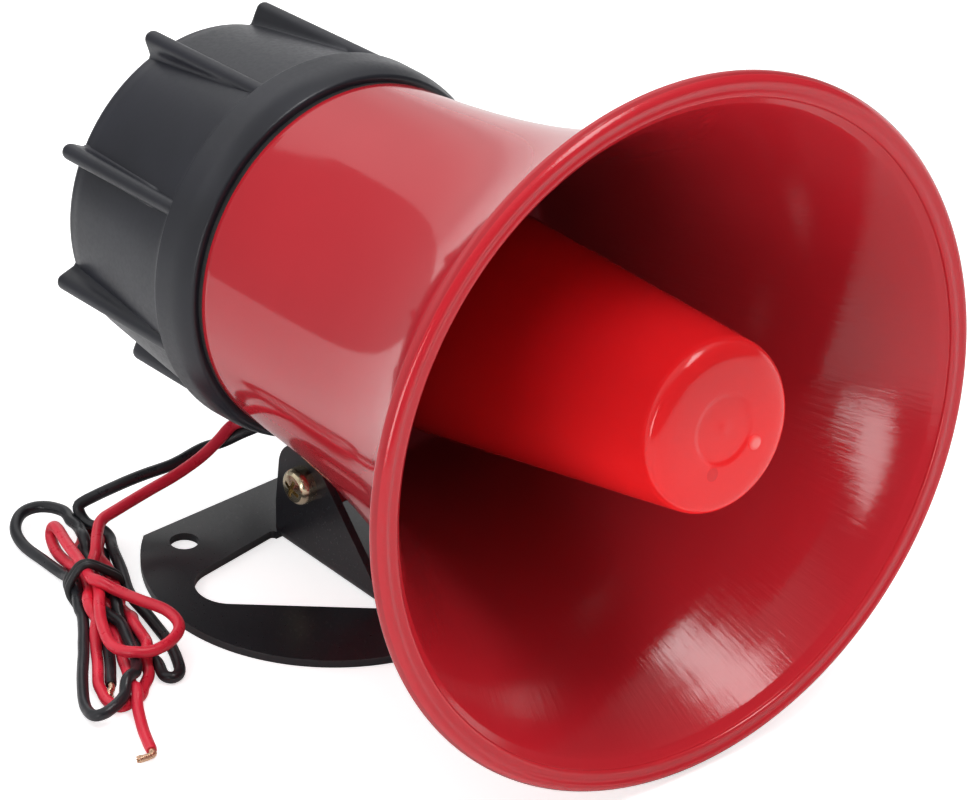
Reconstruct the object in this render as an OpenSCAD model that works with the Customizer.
// Horn alarm siren on a round tilting foot.
// Frame: origin at the centre of the foot disc, on its underside; +Z up;
// the horn mouth faces -Y. The horn itself is drawn on its own axis
// (z = distance in front of the datum plane, which lies 1.2 mm behind the
// front of the rim, +y = towards the top of the horn)
// and is then set on the pivot by in_horn().

/* [Horn] */
// Outer radius of the mouth rim
rim_r = 52.5; // [51:0.5:53]
// Wall thickness of the bell
bell_wall = 2.2; // [1.8:0.1:2.6]
// Thickness of the rolled rim, front to back
rim_band = 2.7; // [2.3:0.1:3.2]
// Distance from the datum plane back to the shoulder behind the bell
bell_len = 72.1; // [72.1:0.1:72.1]
// Upward lean of the horn on its foot, in degrees
horn_tilt = 5.2; // [4:0.1:8]

/* [Reflector] */
// Radius of the reflector at its tip
tip_r = 12.5; // [11.5:0.1:13]
// Radius of the reflector at its open base
cup_r = 17.3; // [16.6:0.1:18]
// How far the tip stands in front of the datum plane
tip_out = 9; // [6:0.5:12]
// Wall thickness of the reflector
cup_wall = 1.7; // [1.4:0.1:2]
// Edge rounding of the tip
tip_round = 2.6; // [1.6:0.1:3]
// Lean of the reflector towards the top of the horn, in degrees
lean_up = 3.0; // [0:0.1:3.2]
// Sideways lean of the reflector, in degrees
lean_side = 1.6; // [0:0.1:2.6]

/* [Rear cap] */
// Outer radius of the collar
collar_r = 27.9; // [27.6:0.1:28.3]
// Length of the collar
collar_len = 7.7; // [7:0.1:8.5]
// Radius of the cap body at its rear edge
cap_rear_r = 23.6; // [23:0.1:24.4]
// Number of grip ribs
rib_count = 8; // [4:1:12]
// Thickness of one grip rib
rib_w = 2.4; // [2:0.1:3]

/* [Foot bracket] */
// Radius of the foot disc
foot_r = 27.7; // [26.5:0.1:29]
// Sheet thickness
sheet = 1.2; // [1:0.1:1.4]
// Diameter of the fixing holes
fix_d = 4.2; // [3.6:0.1:4.6]
// Height of the pivot above the table
pivot_z = 12.8; // [12.8:0.1:13.6]

/* [Leads] */
// Outside diameter of each lead
lead_d = 1.7; // [1.5:0.1:1.7]

/* [Hidden] */

fine = 96;               // facets of the larger round parts
gap = 0.02;              // clearance between parts that seat on each other

part_z = -60;            // front face of the wall that carries the driver
part_back = part_z - 2.4;
neck_r = 24.6;           // spigot that the cap screws onto
neck_in = 22.4;
neck_end = -82;
tube_r = 6.2;
tube_in = 5;

horn_x = 5.7;            // the horn stands beside the bracket tab
pivot_y = 2.8;
pivot_back = 74;         // pivot measured from the datum plane
pivot_drop = 33.2;       // pivot measured below the horn axis
tab_x = -3.2;            // outer face of the tab
lug_gap = 0.05;          // between tab and lug
lug_x0 = tab_x + sheet + lug_gap;
lug_w = 2 * (horn_x - lug_x0);
shank_r = 1.5;

collar_z = -bell_len - 0.8;
cap_step = collar_z - collar_len;
cap_end = -106.7;
cap_front_r = 27.2;      // cap body where it meets the collar
cap_wall = 2.2;

board_z = -91;           // front face of the circuit board
board_t = 1.6;
board_back = board_z - board_t - gap;
exit_a = 172.5;          // lead exit, turned from the top towards -X
exit_z = -88;

// where the horn axis crosses the datum plane
tilt_cos = cos(horn_tilt);
tilt_sin = sin(horn_tilt);
datum_y = pivot_y - pivot_back * tilt_cos + pivot_drop * tilt_sin;
datum_z = pivot_z + pivot_back * tilt_sin + pivot_drop * tilt_cos;

// ---------- helpers ----------
module in_horn()
    translate([horn_x, datum_y, datum_z]) rotate([90 - horn_tilt, 0, 0]) children();

// the same placing for a single point
function horn_point(p) = [
    horn_x + p[0],
    datum_y + tilt_sin * p[1] - tilt_cos * p[2],
    datum_z + tilt_cos * p[1] + tilt_sin * p[2]];

function unit(v) = v / norm(v);

// ring between two radii and two stations along the axis
module ring(outer, inner, z0, z1, facets = fine)
    translate([0, 0, min(z0, z1)]) difference() {
        cylinder(r = outer, h = abs(z1 - z0), $fn = facets);
        translate([0, 0, -1]) cylinder(r = inner, h = abs(z1 - z0) + 2, $fn = facets);
    }

module disc(r, z0, z1, facets = fine)
    translate([0, 0, min(z0, z1)]) cylinder(r = r, h = abs(z1 - z0), $fn = facets);

// steps + 1 points on an arc from angle a0 to a1
function arc(centre, r, a0, a1, steps) = [
    for (i = [0 : steps]) let (a = a0 + (a1 - a0) * i / steps) centre + r * [cos(a), sin(a)]];

// polygon with its corners rounded: the flats stay flat and each corner is a true arc
function half_angle(before, corner, after) =
    acos(unit(before - corner) * unit(after - corner)) / 2;
function fillet_centre(before, corner, after, r) =
    corner + unit(unit(before - corner) + unit(after - corner)) * r
        / sin(half_angle(before, corner, after));
// where the fillet meets the side that runs to the point before
function fillet_end(before, corner, after, r) =
    corner + unit(before - corner) * r / tan(half_angle(before, corner, after));

module round_poly(pts, radii) {
    n = len(pts);
    polygon([
        for (i = [0 : n - 1])
            let (before = pts[(i + n - 1) % n], corner = pts[i], after = pts[(i + 1) % n])
            each [fillet_end(before, corner, after, radii[i]),
                  fillet_end(after, corner, before, radii[i])]]);
    for (i = [0 : n - 1])
        translate(fillet_centre(pts[(i + n - 1) % n], pts[i], pts[(i + 1) % n], radii[i]))
            circle(r = radii[i], $fn = 64);
}

// ---------- foot bracket ----------
// window that the tab is folded from: corners [x, y] and their radii
window = [[tab_x, 10.3], [-28.4, 6.8], [tab_x, -15.9]];
window_radii = [0.6, 5.4, 0.8];
// tab outline: corners [y, z] and their radii
tab = [[window[2][1], 0], [window[0][1], 0], [7.6, 25.2]];
tab_radii = [0.4, 0.4, 5.4];
// the fold runs along the straight part of the window edge
fold_y1 = floor(10 * fillet_end(window[2], window[0], window[1], window_radii[0])[1]) / 10;
fold_y0 = ceil(10 * fillet_end(window[0], window[2], window[1], window_radii[2])[1]) / 10;
fold_len = fold_y1 - fold_y0;
fix_pts = [[-14.8, 15.9], [14.8, 15.9], [0, -21.7]];
foot_flat_y = 20.7;      // straight rear edge
bend_in = 0.8;
bend_out = bend_in + sheet;

module foot_plate() linear_extrude(sheet) difference() {
    circle(r = foot_r, $fn = 128);
    translate([-foot_r - 1, foot_flat_y]) square([2 * foot_r + 2, foot_r]);
    round_poly(window, window_radii);
    translate([tab_x - 0.5, fold_y0]) square([bend_out + 0.5, fold_len]);
}

module tab_bend()
    translate([0, fold_y1, 0]) rotate([90, 0, 0]) linear_extrude(fold_len) difference() {
        intersection() {
            translate([tab_x + bend_out, bend_out]) circle(r = bend_out, $fn = 48);
            translate([tab_x, 0]) square([bend_out, bend_out]);
        }
        translate([tab_x + bend_out, bend_out]) circle(r = bend_in, $fn = 48);
    }

module upright_tab()
    translate([tab_x, 0, 0]) rotate([90, 0, 90]) linear_extrude(sheet) intersection() {
        round_poly(tab, tab_radii);
        translate([fold_y0, bend_out]) square([fold_len, 40]);
    }

module bracket() color([0.07, 0.07, 0.08]) difference() {
    union() {
        foot_plate();
        tab_bend();
        upright_tab();
    }
    for (p = fix_pts)
        translate([p[0], p[1], -1]) cylinder(d = fix_d, h = sheet + 2, $fn = 48);
    translate([tab_x - 1, pivot_y, pivot_z]) rotate([0, 90, 0])
        cylinder(r = shank_r + 0.15, h = sheet + 2, $fn = 48);
}

// ---------- pivot hardware, drawn along +X from the outer face of the tab ----------
spring_t = 0.7;
washer_in = 1.62;
washer_t = 0.5;
lug_far = sheet + lug_gap + lug_w;
nut_r = 3.25;
nut_h = 2.4;
nut_bevel = 0.4;

module on_pivot() translate([tab_x, pivot_y, pivot_z]) rotate([0, 90, 0]) children();

module pivot_screw() color([0.80, 0.66, 0.36]) on_pivot() difference() {
    union() {
        // pan head: a low dome on a short band
        translate([0, 0, -spring_t]) rotate([180, 0, 0]) rotate_extrude($fn = fine)
            polygon(concat([[0, 0], [2.75, 0], [2.75, 0.5]],
                           arc([1.45, 0.5], 1.3, 0, 62, 8),
                           [[0, 2.0]]));
        translate([0, 0, -spring_t - 0.01]) cylinder(r = shank_r, h = 22.5, $fn = 48);
    }
    // cross recess
    for (a = [20, 110])
        translate([0, 0, -spring_t - 2.1]) rotate([0, 0, a])
            translate([-1.55, -0.32, 0]) cube([3.1, 0.64, 1.3]);
}

module spring_washer() color([0.74, 0.62, 0.34]) on_pivot() difference() {
    translate([0, 0, -spring_t]) ring(2.7, washer_in, 0.01, spring_t - 0.01, 64);
    translate([0, 0, -spring_t - 1]) rotate([0, 0, 205])
        translate([1, -0.25, 0]) cube([4, 0.5, 3]);
}

module flat_washer() color([0.74, 0.62, 0.34]) on_pivot()
    ring(3.5, washer_in, lug_far + 0.03, lug_far + 0.03 + washer_t, 64);

// hexagon trimmed by a cylinder with bevelled ends
module pivot_nut() color([0.76, 0.64, 0.36]) on_pivot()
    translate([0, 0, lug_far + washer_t + 0.05]) difference() {
        intersection() {
            cylinder(r = 5.5 / sqrt(3), h = nut_h, $fn = 6);
            union() {
                cylinder(r1 = nut_r - nut_bevel, r2 = nut_r, h = nut_bevel, $fn = 64);
                translate([0, 0, nut_bevel])
                    cylinder(r = nut_r, h = nut_h - 2 * nut_bevel, $fn = 64);
                translate([0, 0, nut_h - nut_bevel])
                    cylinder(r1 = nut_r, r2 = nut_r - nut_bevel, h = nut_bevel, $fn = 64);
            }
        }
        translate([0, 0, -1]) cylinder(r = shank_r + 0.02, h = 6, $fn = 48);
    }

// ---------- horn bell ----------
rim_out = 1.2;           // front of the rim, in front of the datum plane
lip_r = rim_r - 3.5;
flare_front = -rim_band - 0.3;
cavity_front = -0.9;
flare_base = 23.54;
bell_steps = 36;
cheek = 3;               // lug cheek thickness

// flare radius at z, without and with the sharp outward curl behind the rim
function flare_r(base, z) = base + 27.84 * exp(z / 30.6);
function bell_r(z) = flare_r(flare_base, z) + 12.41 * exp(z / 1.294);
function cavity_r(z) = min(lip_r - 0.25, flare_r(flare_base - bell_wall, z));
// stretches the outside along the axis so that z = 0 lands on the front of the rim
function stretched(z) = rim_out + z * (1 + rim_out / bell_len);
// stations crowd together towards the mouth
function stations(from, to) = [
    for (i = [0 : bell_steps]) from + (to - from) * (1 - pow(1 - i / bell_steps, 1.5))];
bell_z = stations(-bell_len, flare_front);
cavity_z = stations(part_z, cavity_front);

module bell_solid() rotate_extrude($fn = 180) polygon(concat(
    [[0, neck_end], [neck_r - 0.5, neck_end], [neck_r, neck_end + 0.5], [neck_r, -bell_len]],
    [[bell_r(-bell_len) - 0.5, -bell_len], [bell_r(-bell_len), -bell_len + 0.4]],
    [for (i = [1 : bell_steps]) [bell_r(bell_z[i]), stretched(bell_z[i])]],
    arc([rim_r - 0.8, rim_out - rim_band + 0.8], 0.8, -90, 0, 4),
    arc([rim_r - 1.1, rim_out - 1.1], 1.1, 0, 90, 6),
    arc([lip_r + 0.8, rim_out - 0.8], 0.8, 90, 150, 4),
    [[0, rim_out - 0.4]]));

module bell_cavity() rotate_extrude($fn = 180) polygon(concat(
    [[0, part_z], [cavity_r(part_z) - 1, part_z], [cavity_r(part_z), part_z + 1]],
    [for (i = [1 : bell_steps]) let (z = cavity_z[i])
        [cavity_r(z), z + rim_out * (z - part_z) / (cavity_front - part_z)]],
    [[cavity_r(cavity_front), rim_out + 1], [0, rim_out + 1]]));

// the lug outline is drawn as [y, z] in the horn frame and extruded along x
module lug()
    translate([lug_x0 - horn_x, 0, 0])
        multmatrix([[0, 0, 1, 0], [1, 0, 0, 0], [0, 1, 0, 0], [0, 0, 0, 1]])
            linear_extrude(lug_w) {
                translate([-pivot_drop, -pivot_back]) circle(r = 4.6, $fn = 64);
                polygon([[-24, -62.6], [-24, -71.4], [-28.3, -71.6],
                         [-pivot_drop + 3.6, -pivot_back + 2.86],
                         [-pivot_drop, -pivot_back],
                         [-pivot_drop - 2.9, -pivot_back + 3.57],
                         [-26.8, -62.6]]);
            }

module at_driver_screws()
    for (a = [30 : 120 : 270]) rotate([0, 0, a]) translate([19.8, 0, 0]) children();

module horn_bell() color([0.72, 0.07, 0.09]) in_horn() difference() {
    union() {
        bell_solid();
        lug();
    }
    bell_cavity();
    disc(neck_in, part_back, neck_end - 1);
    disc(tube_r + 0.05, part_z + 1, part_back - 1);
    at_driver_screws()
        translate([0, 0, part_back - 0.01]) cylinder(r = 1.32, h = 1.8, $fn = 32);
    // pivot bore
    translate([lug_x0 - horn_x - 1, -pivot_drop, -pivot_back]) rotate([0, 90, 0])
        cylinder(r = shank_r + 0.08, h = lug_w + 2, $fn = 64);
    // coring between the two cheeks of the lug, open to the front
    translate([-(lug_w / 2 - cheek), -pivot_drop + 4.4, -70.4])
        cube([lug_w - 2 * cheek, 4.0, 10]);
}

// ---------- throat and reflector ----------
lean_z = -55;            // the reflector leans about this point of the axis
cup_len = tip_out - lean_z;
cup_base = 5;            // the cup opens this far in front of the lean point
fin_t = 1.6;

module leaned() translate([0, 0, lean_z]) rotate([-lean_up, lean_side, 0]) children();

// outside radius of the cup, z measured from the lean point
function cup_out(z) = cup_r + (tip_r - cup_r) * (z - cup_base) / (cup_len - cup_base);

// one of the fins that carry the reflector: outline [distance outwards, z]
module cup_fin()
    translate([2, -fin_t / 2, 0]) rotate([90, 0, 0])
        translate([0, 0, -fin_t]) linear_extrude(fin_t)
            polygon([[0, -3.3], [13.6, -3.3], [13.6, cup_base - 0.1],
                     [cup_out(12) - cup_wall - 2.06, cup_base],
                     [cup_out(17) - cup_wall - 2.08, 17], [0, 24]]);

module throat_tube() color([0.62, 0.06, 0.08]) in_horn() difference() {
    union() {
        disc(tube_r, part_back, -16);
        disc(9, part_z + gap, part_z + 1.4);
        leaned() for (a = [90, 210, 330]) rotate([0, 0, a]) cup_fin();
    }
    disc(tube_in, part_back - 1, -10);
}

module reflector_bullet() color([0.85, 0.08, 0.08]) in_horn() leaned() {
    round_z = cup_len - tip_round;
    inner_tip = cup_len - cup_wall;
    rotate_extrude($fn = 144) polygon(concat(
        [[cup_out(cup_base) - cup_wall, cup_base],
         [cup_out(cup_base) - 0.5, cup_base],
         [cup_out(cup_base), cup_base + 0.5],
         [cup_out(round_z), round_z]],
        arc([cup_out(round_z) - tip_round, round_z], tip_round, 8, 90, 10),
        // shallow recess in the tip, then the inside of the cup
        [[5.2, cup_len], [4.9, cup_len - 0.35], [0, cup_len - 0.35],
         [0, inner_tip - 0.3],
         [cup_out(cup_len) - cup_wall - 2.2, inner_tip - 0.3],
         [cup_out(cup_len - 3) - cup_wall - 0.2, inner_tip - 2.4]]));
}

// ---------- driver: a stack of parts, front to back ----------
stack_r = 17.6;
cover_front = -63;
cover_back = -65;
plate_front = -71;
plate_back = -73.5;
yoke_front = -79.5;
yoke_back = -82;
plate_r = 17.5;
terminal_x = 3.6;
terminal_y = -8;

module driver_gasket() color([0.12, 0.12, 0.12]) in_horn()
    ring(stack_r, 8, part_back - gap, cover_front + gap);

module driver_cover() color([0.10, 0.10, 0.11]) in_horn() difference() {
    disc(21.8, cover_front, cover_back);
    disc(tube_in, -60, -70);
    translate([0, 0, cover_back - 0.01]) cylinder(r1 = 10.5, r2 = 7, h = 0.9, $fn = fine);
    at_driver_screws() translate([0, 0, cover_back - 1]) cylinder(r = 1.5, h = 4, $fn = 32);
}

module driver_screws() color([0.75, 0.75, 0.78]) in_horn() at_driver_screws() difference() {
    union() {
        disc(1.3, -60.9, cover_back - 0.3, 32);
        disc(1.95, cover_back - gap, cover_back - 1.5, 48);
    }
    translate([-3, -0.3, cover_back - 1.6]) cube([6, 0.6, 0.7]);
}

module diaphragm_ring() color([0.13, 0.13, 0.14]) in_horn() difference() {
    ring(stack_r, 14.6, cover_back - gap, plate_front + gap);
    ring(16.8, 14, -66.6, -68.0);
}

// shallow dome with one surround wave and a flat rim held loosely in the ring's groove
dome_r = 52;
dome_a = asin(12.4 / dome_r);
dome_steps = 8;
function dome_point(i, crown_z) = let (a = dome_a * i / dome_steps)
    [dome_r * sin(a), crown_z - dome_r + dome_r * cos(a)];

module diaphragm() color([0.75, 0.62, 0.30]) in_horn() rotate_extrude($fn = fine)
    polygon(concat(
        [for (i = [0 : dome_steps]) dome_point(i, -65.6)],
        [[13.4, -66.85], [14.2, -67.1], [16.4, -67.1],
         [16.4, -67.5], [14.2, -67.5], [13.4, -67.25]],
        [for (i = [dome_steps : -1 : 0]) dome_point(i, -66.0)]));

module voice_coil() color([0.72, 0.42, 0.20]) in_horn() ring(9.75, 9.2, -67.0, -73.6);

module top_plate() color([0.60, 0.60, 0.62]) in_horn()
    ring(plate_r, 10.2, plate_front, plate_back);

module ferrite_magnet() color([0.18, 0.18, 0.19]) in_horn()
    ring(plate_r, 11.5, plate_back - gap, yoke_front + gap);

module magnet_yoke() color([0.60, 0.60, 0.62]) in_horn() union() {
    disc(16.5, yoke_front, yoke_back);
    disc(8.7, plate_front, yoke_front - 0.1);
}

module at_terminals(z)
    for (side = [-1, 1]) translate([side * terminal_x, terminal_y, z]) children();

module terminal_strip() color([0.62, 0.50, 0.30]) in_horn() difference() {
    translate([-6, terminal_y - 2.5, yoke_back - 1.4]) cube([12, 5, 1.4 - gap]);
    at_terminals(yoke_back - 2) cylinder(r = 0.56, h = 3, $fn = 24);
}

module driver_leads() color([0.20, 0.20, 0.55]) in_horn()
    at_terminals(board_z + gap) cylinder(r = 0.5, h = 8.6, $fn = 24);

// ---------- electronics in the rear cap ----------
module at_bosses()
    for (a = [0, 120, 240]) rotate([0, 0, a]) translate([0, 16.5, 0]) children();

module circuit_board() color([0.10, 0.34, 0.16]) in_horn() difference() {
    disc(20.5, board_z, board_z - board_t);
    at_bosses() translate([0, 0, board_z - 3]) cylinder(r = 1.45, h = 5, $fn = 32);
}

module board_screws() color([0.75, 0.75, 0.78]) in_horn() at_bosses() difference() {
    union() {
        disc(1.2, board_z + 0.1, board_z - 6, 32);
        disc(2.3, board_z + gap, board_z + 1.5, 48);
    }
    translate([-3, -0.3, board_z + 1]) cube([6, 0.6, 2]);
    translate([-0.3, -3, board_z + 1]) cube([0.6, 6, 2]);
}

module power_transistors() color([0.09, 0.09, 0.10]) in_horn()
    for (side = [-1, 1]) translate([side * 5.8, -1.2, board_back]) difference() {
        translate([-5, -4.4, -4.5]) cube([10, 9, 4.5]);
        translate([-6, -5, -5]) rotate([20, 0, 0]) cube([12, 1.2, 3]);
    }

// a bobbin with two flanges: [radius, z]
module output_choke() color([0.25, 0.22, 0.20]) in_horn()
    translate([0, -12.4, board_back - 8]) rotate_extrude($fn = 64)
        polygon([[0, 0], [4.4, 0], [4.4, 1.2], [3.5, 1.4],
                 [3.5, 6.6], [4.4, 6.8], [4.4, 8], [0, 8]]);

// cans with a groove near the board end: [radius, z]
module filter_capacitors() color([0.12, 0.16, 0.34]) in_horn()
    for (side = [-1, 1])
        translate([side * 10.6, 8.6, board_back - 9.4]) rotate_extrude($fn = 64)
            polygon([[0, 0.2], [3.3, 0.2], [3.5, 0], [4, 0.4], [4, 8],
                     [3.7, 8.3], [3.7, 8.6], [4, 8.9], [4, 9.4], [0, 9.4]]);

module tone_chip() color([0.08, 0.08, 0.09]) in_horn()
    translate([0, 6, board_z + gap]) union() {
        translate([-4.7, -3.2, 0.5]) cube([9.4, 6.4, 3.2]);
        // each pin is an upright leg and a short arm into the body
        for (i = [0 : 3], side = [-1, 1]) translate([-4.1 + 2.54 * i, 0, 0]) {
            translate([0, side * 3.6 - 0.25, 0]) cube([0.6, 0.5, 2.2]);
            translate([0, side > 0 ? 3.1 : -3.85, 1.7]) cube([0.6, 0.75, 0.5]);
        }
    }

module resistors() color([0.78, 0.66, 0.48]) in_horn()
    for (x = [-11.5, 9.2, 12.6]) translate([x, -3, board_z + gap]) union() {
        // body: [radius, length]
        translate([0, 0, 1.3]) rotate([-90, 0, 0]) rotate_extrude($fn = 32)
            polygon([[0, 0], [1.1, 0], [1.2, 0.3], [1.2, 1.2], [0.95, 1.6],
                     [0.95, 4.8], [1.2, 5.2], [1.2, 6.1], [1.1, 6.4], [0, 6.4]]);
        // wire legs and the bar that joins them
        for (y = [-0.9, 6.9]) translate([-0.3, y, 0]) cube([0.6, 0.6, 1.6]);
        translate([-0.3, -0.9, 1]) cube([0.6, 8.4, 0.6]);
    }

// ---------- rear cap ----------
thread_r = neck_r + 0.7;
inner_end = cap_end + cap_wall;

function cap_r(z) =
    cap_front_r + (cap_rear_r - cap_front_r) * (z - cap_step) / (cap_end - cap_step);

module cap_gasket() color([0.05, 0.05, 0.05]) in_horn()
    ring(26.0, neck_r + 0.1, -bell_len - gap, collar_z + gap);

// a fin on the tapered body, flush with the collar; its rounded crest comes down
// a little towards the rounded rear end
module grip_rib() {
    half = rib_w / 2;
    drop = 0.7;
    foot_y = 19;
    z0 = cap_end + half;
    z1 = cap_step + 0.5;
    crest_y0 = collar_r - half - drop;
    crest_y1 = collar_r - half;
    slope = atan2(drop, z1 - z0);
    difference() {
        union() {
            translate([0, crest_y0, z0]) rotate([-slope, 0, 0])
                cylinder(r = half, h = (z1 - z0) / cos(slope) + 1, $fn = 32);
            translate([0, crest_y0, z0]) sphere(r = half, $fn = 32);
            translate([-half, 0, 0]) rotate([90, 0, 90]) linear_extrude(rib_w)
                polygon([[foot_y, z0], [crest_y0, z0],
                         [crest_y1 + drop / (z1 - z0), z1 + 1], [foot_y, z1 + 1]]);
            translate([0, foot_y, z0]) rotate([-90, 0, 0])
                cylinder(r = half, h = crest_y0 - foot_y, $fn = 32);
        }
        translate([-5, 10, z1]) cube([10, 30, 5]);
    }
}

module cap_solid() rotate_extrude($fn = 180) polygon(concat(
    [[0, cap_end]],
    arc([cap_rear_r - 1.6, cap_end + 1.6], 1.6, -90, 0, 6),
    [[cap_r(cap_step), cap_step], [collar_r - 0.4, cap_step], [collar_r, cap_step + 0.4],
     [collar_r, collar_z - 0.5], [collar_r - 0.5, collar_z], [0, collar_z]]));

module cap_cavity() difference() {
    rotate_extrude($fn = 144) polygon([
        [0, inner_end],
        [cap_r(inner_end) - cap_wall - 0.8, inner_end],
        [cap_r(inner_end) - cap_wall, inner_end + 0.8],
        [cap_r(neck_end - 0.6) - cap_wall, neck_end - 0.6],
        [thread_r, neck_end - 0.2], [thread_r, collar_z + 1], [0, collar_z + 1]]);
    // posts for the circuit board
    at_bosses() translate([0, 0, cap_end])
        cylinder(r = 2.7, h = board_back - cap_end, $fn = 48);
    // plain lands that ride on the neck
    for (z = [-75.2, -78.2, -81.2]) ring(26.5, neck_r + 0.08, z, z + 1);
}

module back_cap() color([0.09, 0.09, 0.10]) in_horn() difference() {
    union() {
        cap_solid();
        for (i = [0 : rib_count - 1]) rotate([0, 0, 15 + i * 360 / rib_count]) grip_rib();
    }
    cap_cavity();
    at_bosses() translate([0, 0, board_z - board_t - 6]) cylinder(r = 1.22, h = 8, $fn = 32);
    at_exit() translate([0, 0, 18]) cylinder(r = 2.75, h = 12, $fn = 64);
}

// ---------- lead exit ----------
lead_r = lead_d / 2;
bore_off = lead_r + 0.1;
exit_out = cap_r(exit_z);           // outside of the cap wall
exit_in = exit_out - cap_wall;

// local z runs outwards through the cap wall
module at_exit()
    rotate([0, 0, exit_a]) translate([0, 0, exit_z]) rotate([-90, 0, 0]) children();

module cable_grommet() color([0.06, 0.06, 0.06]) in_horn() difference() {
    at_exit() rotate_extrude($fn = 64) polygon([
        [0, exit_in - 1.5], [3.3, exit_in - 1.5], [3.6, exit_in - 1.2],
        [3.6, exit_in - 0.95], [2.7, exit_in - 0.95], [2.7, exit_out + 0.65],
        [3.9, exit_out + 0.65], [3.9, exit_out + 1.1], [3.3, exit_out + 1.7],
        [0, exit_out + 1.7]]);
    at_exit() for (side = [-1, 1])
        translate([side * bore_off, 0, 15]) cylinder(r = lead_r + 0.03, h = 20, $fn = 32);
}

// ---------- leads ----------
// smooth curve through control points, n steps to a span
function spline(p0, p1, p2, p3, t) = 0.5 * (2 * p1 + (p2 - p0) * t
    + (2 * p0 - 5 * p1 + 4 * p2 - p3) * t * t + (3 * p1 - p0 - 3 * p2 + p3) * t * t * t);
function curve(pts, n) = let (last = len(pts) - 1) [
    for (i = [0 : last - 1], k = [0 : n - 1])
        spline(pts[max(i - 1, 0)], pts[i], pts[i + 1], pts[min(i + 2, last)], k / n),
    pts[last]];
function tangents(path) = [
    for (i = [0 : len(path) - 1])
        unit(path[min(i + 1, len(path) - 1)] - path[max(i - 1, 0)])];
// carries a normal along the path without twist
function normals(tangent, i, start) = i == len(tangent) ? [] :
    let (n = unit(start - (start * tangent[i]) * tangent[i]))
    concat([n], normals(tangent, i + 1, n));

module tube(path, r, sides) {
    tangent = tangents(path);
    normal = normals(tangent, 0, [0.31, 0.2, 0.9]);
    count = len(path);
    pts = [
        for (i = [0 : count - 1], j = [0 : sides - 1])
            let (a = 360 * j / sides, side = cross(tangent[i], normal[i]))
            path[i] + r * (cos(a) * normal[i] + sin(a) * side)];
    faces = concat(
        [[for (j = [sides - 1 : -1 : 0]) j]],
        [[for (j = [0 : sides - 1]) (count - 1) * sides + j]],
        [for (i = [0 : count - 2], j = [0 : sides - 1])
            let (row = i * sides, next = (i + 1) * sides, k = (j + 1) % sides)
            [row + j, row + k, next + k, next + j]]);
    polyhedron(points = pts, faces = faces, convexity = 6);
}

// bundle: flat loops pulled in at the waist, each turn lying on the one before
bundle_at = [-38.5, 10];
bundle_along = unit([0.42, 1]);
bundle_across = [bundle_along[1], -bundle_along[0]];
turn_rise = 3.72;        // each turn of both leads lies on the one below
wound = 900;             // total winding angle, which ends at low_z

function loop_point(a, low_z) =
    let (along = 20.5 * cos(a),
         across = -(2.3 + 4.6 * pow(abs(cos(a)), 1.4)) * sin(a),
         p = bundle_at + bundle_along * along + bundle_across * across)
    [p[0], p[1], low_z + turn_rise * (wound - a) / 360];

// both leads from the board out through the grommet: [radius, z] in the horn frame
exit_route = [
    [15.2, board_z + 0.15], [15.2, board_z + 1.2], [15.9, exit_z - 0.7],
    [17.4, exit_z - 0.1], [19.5, exit_z], [22, exit_z], [25, exit_z], [28, exit_z],
    [30, exit_z]];
function exit_path(side) = [
    for (q = exit_route)
        horn_point([side * bore_off - q[0] * sin(exit_a), q[0] * cos(exit_a), q[1]])];

// side of the grommet, points down to the bundle, first loop angle, height of the
// lowest turn, points of the free end
module lead(side, descent, first_a, low_z, tail) tube(concat(
    curve(concat(exit_path(side), descent), 6),
    [for (a = [first_a : 4 : 872]) loop_point(a, low_z)],
    tail), lead_r, 8);

module lead_red() color([0.80, 0.10, 0.12]) lead(-1,
    [[-1.2, 17.0, 13.6], [-6, 19.0, 12.6], [-12, 22.0, 12.2], [-19.0, 26.2, 12.2]],
    8, 2.82,
    [[-50, -14, 3.0], [-51.5, -19, 1.5], [-52.4, -23.5, 1.0]]);

module lead_black() color([0.08, 0.08, 0.09]) lead(1,
    [[1.6, 18.2, 13.4], [-3.4, 21.2, 12.1], [-11, 26.5, 11.3], [-20, 30.7, 10.9]],
    14, 0.96,
    [[-47.5, -16, 1.0], [-47.2, -20, 0.95]]);

// bare ends: [position, turn about the vertical]
module lead_cores() color([0.85, 0.62, 0.45])
    for (end = [[[-52.42, -23.6, 0.99], -8], [[-47.2, -20.1, 0.95], 4]])
        translate(end[0]) rotate([90, 0, end[1]]) cylinder(r = 0.5, h = 3, $fn = 24);

module bundle_tie() color([0.07, 0.07, 0.08])
    translate([bundle_at[0], bundle_at[1], 0])
        rotate([0, 0, atan2(bundle_along[1], bundle_along[0])]) difference() {
            translate([-1.2, -4.3, 0.02]) cube([2.4, 8.6, 13.6]);
            translate([-2, -3.5, 0.08]) cube([4, 7, 12.8]);
        }

bracket();
pivot_screw();
spring_washer();
flat_washer();
pivot_nut();
horn_bell();
throat_tube();
reflector_bullet();
driver_gasket();
driver_cover();
driver_screws();
diaphragm_ring();
diaphragm();
voice_coil();
top_plate();
ferrite_magnet();
magnet_yoke();
terminal_strip();
driver_leads();
circuit_board();
board_screws();
power_transistors();
output_choke();
filter_capacitors();
tone_chip();
resistors();
cap_gasket();
back_cap();
cable_grommet();
lead_red();
lead_black();
lead_cores();
bundle_tie();
